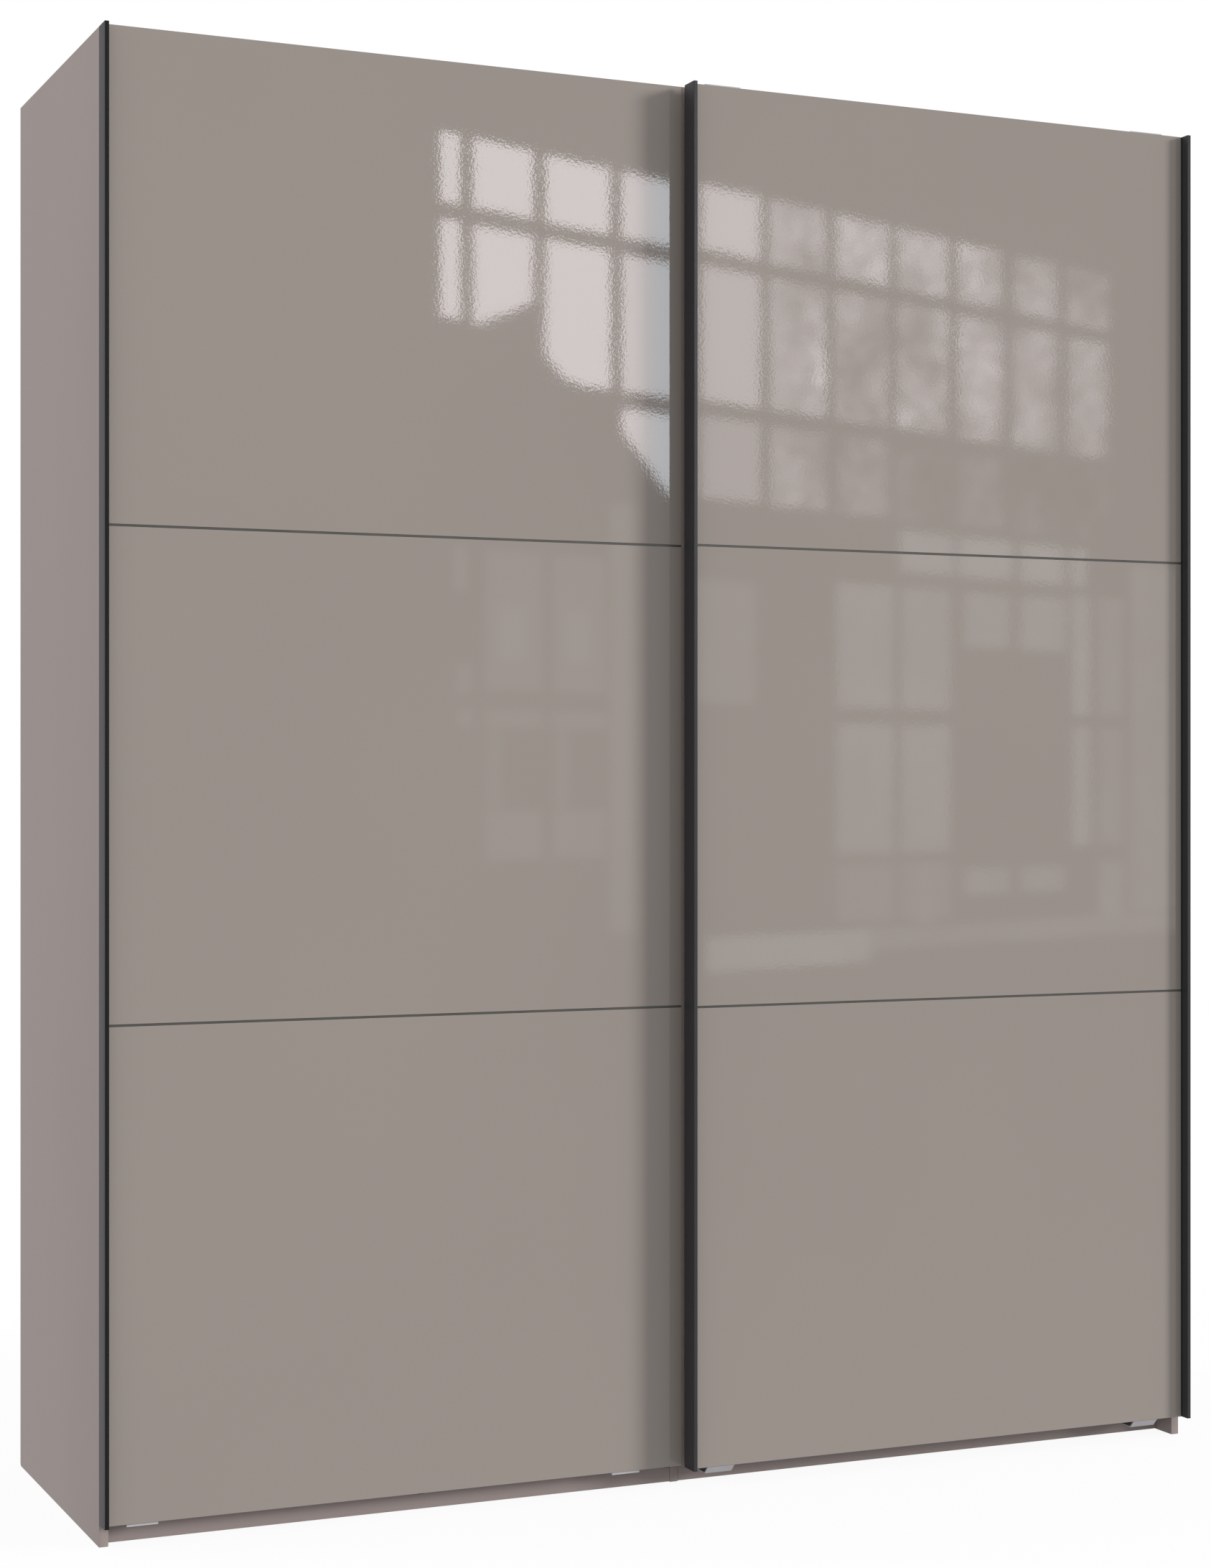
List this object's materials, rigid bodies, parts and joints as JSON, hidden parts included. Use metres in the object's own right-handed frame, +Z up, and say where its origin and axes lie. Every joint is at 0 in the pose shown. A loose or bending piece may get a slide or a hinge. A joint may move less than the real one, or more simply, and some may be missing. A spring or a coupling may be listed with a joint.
{
  "type": "sliding door wardrobe",
  "caption": "Tall wardrobe with two overlapping top-hung sliding doors of glossy painted glass in three fields, slim dark edge profiles and two inner bays.",
  "frame": {"origin": "on the floor, in the middle of the wardrobe's bounding box", "axes": "+X to the right seen from the front, +Y to the back, +Z up; the doors face -Y"},
  "size_m": [1.986, 0.6448, 2.3642],
  "materials": {
    "laminate": "matt pebble-grey laminate",
    "back_board": "matt foil on hardboard",
    "door_board": "matt backing board",
    "painted_glass": "glossy back-painted float glass",
    "divider": "satin dark grey-green strip",
    "edge_trim": "satin edge strip",
    "graphite": "satin graphite anodised profile",
    "aluminium": "mill-finish extrusion",
    "chrome": "bright plated steel",
    "black_plastic": "matt moulded plastic",
    "nylon": "off-white nylon",
    "grey_steel": "light grey coated sheet steel"
  },
  "bodies": {
    "carcass": {"side_panel_left": "laminate", "side_panel_right": "laminate", "centre_partition": "laminate", "top_panel_left": "laminate", "bottom_panel_left": "laminate", "plinth_left": "laminate", "rear_plinth_left": "laminate", "hat_shelf_left": "laminate", "back_panel_left": "back_board", "clothes_rail_left": "chrome", "rail_socket_left_left": "chrome", "rail_socket_left_right": "chrome", "rail_end_stop_left": "black_plastic", "top_panel_right": "laminate", "bottom_panel_right": "laminate", "plinth_right": "laminate", "rear_plinth_right": "laminate", "hat_shelf_right": "laminate", "back_panel_right": "back_board", "clothes_rail_right": "chrome", "rail_socket_right_left": "chrome", "rail_socket_right_right": "chrome", "rail_end_stop_right": "black_plastic", "top_running_rail": "aluminium", "bottom_guide_rail": "aluminium", "guide_rail_catch_1": "black_plastic", "guide_rail_catch_2": "black_plastic"},
    "left_door": {"left_door_board": "door_board", "left_door_glass_1": "painted_glass", "left_door_glass_2": "painted_glass", "left_door_glass_3": "painted_glass", "left_door_divider_1": "divider", "left_door_divider_2": "divider", "left_door_edge_profile": "graphite", "left_door_edge_trim": "edge_trim", "left_door_hanger_1": "grey_steel", "left_door_guide_1": "grey_steel", "left_door_shoe_1": "nylon", "left_door_hanger_2": "grey_steel", "left_door_guide_2": "grey_steel", "left_door_shoe_2": "nylon"},
    "left_door_wheel_1": {"left_door_wheel_1": "nylon"},
    "left_door_wheel_2": {"left_door_wheel_2": "nylon"},
    "right_door": {"right_door_board": "door_board", "right_door_glass_1": "painted_glass", "right_door_glass_2": "painted_glass", "right_door_glass_3": "painted_glass", "right_door_divider_1": "divider", "right_door_divider_2": "divider", "right_door_left_profile": "graphite", "right_door_right_profile": "graphite", "right_door_hanger_1": "grey_steel", "right_door_guide_1": "grey_steel", "right_door_shoe_1": "nylon", "right_door_hanger_2": "grey_steel", "right_door_guide_2": "grey_steel", "right_door_shoe_2": "nylon"},
    "right_door_wheel_1": {"right_door_wheel_1": "nylon"},
    "right_door_wheel_2": {"right_door_wheel_2": "nylon"}
  },
  "joints": [
    {"name": "left_door_slide", "type": "slide", "parent": "carcass", "child": "left_door", "axis": [1, 0, 0], "range_m": [0, 0.97]},
    {"name": "right_door_slide", "type": "slide", "parent": "carcass", "child": "right_door", "axis": [1, 0, 0], "range_m": [-0.97, 0]},
    {"name": "left_door_wheel_1_spin", "type": "hinge", "parent": "left_door", "child": "left_door_wheel_1", "pos_m": [-0.9282, -0.2385, 2.343], "axis": [0, 1, 0], "continuous": true},
    {"name": "left_door_wheel_2_spin", "type": "hinge", "parent": "left_door", "child": "left_door_wheel_2", "pos_m": [-0.105, -0.2385, 2.343], "axis": [0, 1, 0], "continuous": true},
    {"name": "right_door_wheel_1_spin", "type": "hinge", "parent": "right_door", "child": "right_door_wheel_1", "pos_m": [0.0565, -0.2085, 2.343], "axis": [0, 1, 0], "continuous": true},
    {"name": "right_door_wheel_2_spin", "type": "hinge", "parent": "right_door", "child": "right_door_wheel_2", "pos_m": [0.909, -0.2085, 2.343], "axis": [0, 1, 0], "continuous": true}
  ],
  "couplings": [
    {"joint": "left_door_wheel_1_spin", "follows": "left_door_slide", "rad_per_m": 66.667},
    {"joint": "left_door_wheel_2_spin", "follows": "left_door_slide", "rad_per_m": 66.667},
    {"joint": "right_door_wheel_1_spin", "follows": "right_door_slide", "rad_per_m": 66.667},
    {"joint": "right_door_wheel_2_spin", "follows": "right_door_slide", "rad_per_m": 66.667}
  ]
}
